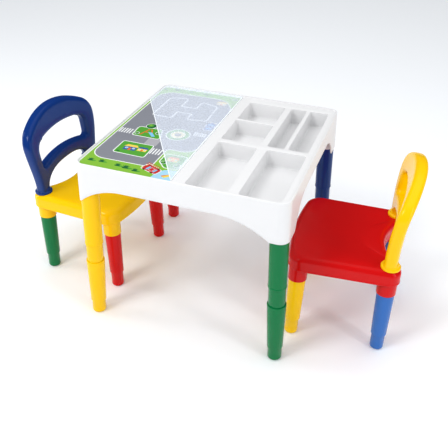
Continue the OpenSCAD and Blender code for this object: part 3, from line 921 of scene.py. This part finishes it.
def car_shapes(shapes, x, y, ink, turn):
    """Car seen from above, its front to +X before the turn."""
    parts = [("line", rounded_polygon([(-25, -13, 6), (25, -13, 6), (25, 13, 6), (-25, 13, 6)])),
             (ink, rounded_polygon([(-23, -11, 5), (23, -11, 5), (23, 11, 5), (-23, 11, 5)]))]
    parts += [("dark", bar(u, v, u + 8, v + 3)) for v in (-13, 10) for u in (-16, 9)]
    parts += [("sky", rounded_polygon([(6, -8, 2), (12, -7, 2), (12, 7, 2), (6, 8, 2)])),
              ("sky", rounded_polygon([(-15, -7, 2), (-10, -7, 2), (-10, 7, 2), (-15, 7, 2)])),
              ("line", bar(-8, -7, 4, 7)), (ink, bar(-7, -6, 3, 6)),
              ("yellow", bar(20, -9, 23, -5)), ("yellow", bar(20, 5, 23, 9))]
    for colour, points in parts:
        shapes.append((colour, moved(points, x, y, turn)))


def zebra(shapes, x0, x1, y0, y1, count):
    step = (x1 - x0) / count
    for i in range(count):
        shapes.append(("line", bar(x0 + i * step, y0, x0 + (i + 0.5) * step, y1)))


def tuft_shapes(shapes, x, y, r):
    """A few blades of grass over a brighter patch."""
    shapes.append(("lawn", disc(x + 1.6 * r, y - 0.2 * r, 1.5 * r, 14, 0.45)))
    for turn in (55, 80, 105, 130):
        a = math.radians(turn)
        tip = (x + 2.6 * r * math.cos(a), y + 2.2 * r * math.sin(a))
        shapes.append(("bush", [(x - 0.6 * r, y), (x + 0.6 * r, y), tip]))
    shapes.append(("bush", disc(x, y - 0.2 * r, 1.5 * r, 12, 0.4)))


def frame_and_ground():
    """White margin, grass, the pond in the corner and the ring of road with its two lawns."""
    (left, front, _), (right, back, _) = SHEET_LOW, SHEET_HIGH
    shapes = []
    for ink, inset, r in (("line", 1.2, 15), ("grass", 2.8, 13)):
        edges = (left + inset, right - inset, front + inset, back - inset)
        shapes.append((ink, rounded_rect(*edges, [1, 1, r, r], 5)))
    shapes.append(("water", rounded_polygon([(-66, -251, 3), (-17, -251, 1), (-17, -205, 3), (-48, -209, 10),
                                             (-60, -224, 8)])))
    road = rounded_polygon([(-245, -207, 36), (-86, -207, 9), (-86, -112, 12), (-19, -114, 30), (-19, 160, 60),
                            (-52, 212, 50), (-245, 212, 44)], 9)
    with_line(shapes, road, "road")
    return shapes


def islands(shapes):
    """Lawns inside the road, the junction, the H-shaped road, the roundabout and the crossings."""
    for corners in ([(-201, -72, 6), (-126, -74, 6), (-140, -24, 8), (-204, -24, 8)],
                    [(-203, -169, 5), (-121, -172, 5), (-123, -112, 5), (-203, -111, 5)]):
        with_line(shapes, rounded_polygon(corners), "lawn")
    shapes.append(("patch", bar(-152, -110, -118, -76)))
    h_road = [(-204, 56, 5), (-152, 56, 5), (-152, 96, 4), (-106, 96, 4), (-106, 60, 5), (-56, 68, 8),
              (-60, 160, 12), (-108, 176, 6), (-108, 130, 4), (-156, 130, 4), (-156, 184, 6), (-204, 176, 12)]
    with_line(shapes, rounded_polygon(h_road), "road", 3.4)
    with_line(shapes, disc(-92, -34, 29, 32), "lawn")
    with_line(shapes, disc(-92, -34, 17, 26), "sand", 2.2)
    shapes.append(("road", disc(-92, -34, 9, 20)))
    corner_lawn = [(-76, -138, 6), (-22, -138, 6), (-22, -196, 6), (-54, -200, 10), (-76, -176, 8)]
    with_line(shapes, rounded_polygon(corner_lawn), "lawn")
    zebra(shapes, -243, -207, -70, -44, 5)
    zebra(shapes, -118, -88, -150, -122, 4)
    zebra(shapes, -56, -22, -24, -4, 6)


def town_shapes():
    """Coloured areas of the print, later ones on top of earlier ones."""
    shapes = frame_and_ground()
    boat = [("orange", [(-46, -236), (-30, -226), (-27, -230), (-42, -240)]),
            ("yellow", [(-42, -238), (-28, -226), (-22, -230), (-36, -243)])]
    shapes += boat
    islands(shapes)
    swing_and_slide = [("orange", [(-186, -66), (-182, -66), (-170, -30), (-174, -30)]),
                       ("orange", [(-152, -66), (-148, -66), (-164, -30), (-168, -30)]),
                       ("orange", bar(-178, -50, -156, -46)),
                       ("sky", [(-170, -46), (-158, -46), (-142, -64), (-150, -68)])]
    shapes += swing_and_slide
    for x, y, r in ((-176, -12, 13), (-141, -44, 7), (-194, -60, 5)):
        tree_shapes(shapes, x, y, r)
    house_shapes(shapes, -172, -141, "blue", "yellow", 1.15)
    house_shapes(shapes, -140, -140, "yellow", "blue", 0.85)
    shapes.append(("bush", bar(-198, -165, -190, -160)))
    house_shapes(shapes, -50, -160, "yellow", "orange", 0.9)
    house_shapes(shapes, -56, 186, "sand", "yellow", 0.9)
    for x, y, r in ((-66, -178, 6), (-30, -182, 7), (-30, 226, 7)):
        tree_shapes(shapes, x, y, r)
    car_shapes(shapes, -79, -217, "red", 158)
    ladder = [("sand", bar(-20 + rung * 6, -2, -17 + rung * 6, 2)) for rung in range(6)]
    ladder += [("red", bar(-21, 2, 18, 4)), ("red", bar(-21, -4, 18, -2))]
    shapes += [(ink, moved(points, -83, -199, 158)) for ink, points in ladder]
    car_shapes(shapes, -34, 40, "blue", 90)
    for x, y, r in ((-232, -226, 5), (-204, -224, 5), (-160, -228, 5), (-138, -231, 6), (-112, -236, 5),
                    (-246, 228, 4), (-212, 233, 5), (-168, 234, 4), (-120, 231, 5)):
        tuft_shapes(shapes, x, y, r)
    return shapes


def build_sheet():
    """One thin closed card; its top is divided along the print's outlines, and each area has its own ink."""
    (left, front, low), (right, back, high) = SHEET_LOW, SHEET_HIGH
    outline = resample(rounded_rect(left, right, front, back, [1, 1, 16, 16], 7), 30)
    shapes = town_shapes()
    points, edges = [], []
    for loop in [outline] + [points_of for _, points_of in shapes]:
        start = len(points)
        points += [Vector((float(x), float(y))) for x, y in loop]
        edges += [(start + i, start + (i + 1) % len(loop)) for i in range(len(loop))]
    flat, _, tris, *_ = delaunay_2d_cdt(points, edges, [], 0, 0.002)
    flat = np.array([tuple(p) for p in flat])
    tris = np.array([t for t in tris if len(t) == 3])
    area = wind(flat, tris)
    middle = flat[tris].mean(axis=1)
    keep = inside(middle, outline) & (np.abs(area) > 1e-7)
    tris, middle = tris[keep], middle[keep]
    names = list(INKS)
    white = names.index("line")
    inks = np.full(len(tris), white)
    for ink, points_of in shapes:
        inks[inside(middle, points_of)] = names.index(ink)
    verts = [(x * MM, y * MM, z * MM) for z in (high, low) for x, y in flat]
    faces = two_sided(tris.tolist(), len(flat))
    mesh = bpy.data.meshes.new("play_sheet_card")
    mesh.from_pydata(verts, [], faces)
    sheet = link_object("play_sheet_card", mesh)
    for name in names:
        mesh.materials.append(printed(name, INKS[name]))
    index = np.full(len(faces), white)
    index[:len(tris)] = inks
    mesh.polygons.foreach_set("material_index", index.astype(np.int32))
    mesh.update()
    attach(sheet, "table")
    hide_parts("play_sheet")


def build_cover():
    """Clear plate with rounded edges; a narrow band along its edge catches the light and looks white."""
    (left, front, z0), (right, back, z1) = COVER_LOW, COVER_HIGH
    corner, cut = 16, 112.0  # cut: how far down the left side the slanting edge starts
    outline = [(right, front), (right, back - 1.2), (right - 1.2, back)]
    outline += arc((left + corner, back - corner), corner, 90, 180, 9) + [(left, back - cut)]
    outline = resample(outline, 40)
    edge, band = 0.7, 1.3
    rows = [(edge, z0), (0.2, z0 + 0.25), (0, z0 + edge),
            (0, z1 - edge), (0.2, z1 - 0.2), (edge, z1), (edge + band, z1)]
    shell = Shell()
    shell.loft([[(x, y, z) for x, y in inward(outline, inset)] for inset, z in rows])
    cover = shell.object("clear_cover_plate")
    finish_piece(cover, "cover", "clear_plastic", "clear_cover")
    cover.data.materials.append(HAZE_EDGE)
    for polygon in cover.data.polygons:
        polygon.material_index = 0 if len(polygon.vertices) > 4 else 1
    cover.visible_shadow = False


# ---------- surroundings ----------


def build_floor():
    """Pale floor, a hair under the soles so that it doesn't cut into them."""
    size, level = 6.0, -0.0002
    mesh = bpy.data.meshes.new("floor")
    corners = [(-size, -size, level), (size, -size, level), (size, size, level), (-size, size, level)]
    mesh.from_pydata(corners, [], [(0, 1, 2, 3)])
    floor = link_object("floor", mesh)
    material, tree, shader = new_material("pale_floor")
    feed(tree, shader, {"Base Color": (0.955, 0.975, 1.0, 1), "Roughness": 0.55, "Specular IOR Level": 0.2})
    mesh.materials.append(material)


# Soft boxes: name, place, what they face, size in metres and power in watts
LIGHTS = [("key_front_left", (-1.2, -1.8, 2.62), (-0.1, 0, 0.3), (0.85, 0.95), 30),
          ("overhead", (0.3, 0.5, 2.9), (0, 0, 0.2), (2.6, 2.6), 13),
          ("strip_left", (-2.4, -0.5, 1.0), (0, 0, 0.3), (0.35, 2.0), 9),
          ("strip_right", (2.3, -0.9, 1.2), (0, 0, 0.3), (0.35, 1.9), 11)]
WORLD_COLOUR = (0.985, 0.992, 1, 1)
WORLD_STRENGTH, WORLD_IN_GLOSS = 0.84, 0.05
GAMMA = 0.86  # a little more contrast: deeper colours under the same whites


def add_light(name, place, target, size, power):
    light = bpy.data.lights.new(name, "AREA")
    light.shape = "RECTANGLE"
    light.size, light.size_y = size
    light.energy = power
    obj = link_object(name, light)
    obj.location = place
    obj.rotation_euler = (Vector(target) - Vector(place)).to_track_quat("-Z", "Y").to_euler()


def build_lights():
    """Bright, even studio: large soft boxes, and a white surround that is dimmer in reflections than in the
    light it gives, so that colours stay deep."""
    for light in LIGHTS:
        add_light(*light)
    world = bpy.data.worlds.new("studio")
    bpy.context.scene.world = world
    world.use_nodes = True
    tree = world.node_tree
    glossy = node(tree, "ShaderNodeLightPath", {}).outputs["Is Glossy Ray"]
    strength = ranged(tree, glossy, {"To Min": WORLD_STRENGTH, "To Max": WORLD_IN_GLOSS})
    feed(tree, tree.nodes["Background"], {"Color": WORLD_COLOUR, "Strength": strength})
    view = bpy.context.scene.view_settings
    view.view_transform = "Standard"
    view.gamma = GAMMA


def build_camera():
    """Camera of the reference view: angles in radians, seen from the front right and a little tilted."""
    azimuth, elevation, roll = 0.3454, 0.6037, 0.00945
    target, distance = Vector((0.0423, -0.0576, 0.23)), 1.6107
    flat = math.cos(elevation)
    back = Vector((math.sin(azimuth) * flat, -math.cos(azimuth) * flat, math.sin(elevation)))
    right = Vector((math.cos(azimuth), math.sin(azimuth), 0))
    up = back.cross(right)
    c, s = math.cos(roll), math.sin(roll)
    right, up = c * right + s * up, -s * right + c * up
    camera = bpy.data.cameras.new("camera")
    camera.lens = 48.88
    camera.sensor_width = 36
    obj = link_object("camera", camera)
    place = target + back * distance
    obj.matrix_world = Matrix(((right.x, up.x, back.x, place.x), (right.y, up.y, back.y, place.y),
                               (right.z, up.z, back.z, place.z), (0, 0, 0, 1)))
    bpy.context.scene.camera = obj


build_camera()
build_table_top()
build_tray()
build_table_legs()
build_sheet()
build_cover()
for colour, backrest in (("yellow", "blue_backrest"), ("red", "yellow_backrest")):
    matrix = chair_matrix(colour)
    body = colour + "_chair"
    build_seat(colour, body, colour + "_seat", matrix)
    build_chair_legs(colour, body, matrix)
    build_backrest(body, backrest, matrix)
build_floor()
build_lights()
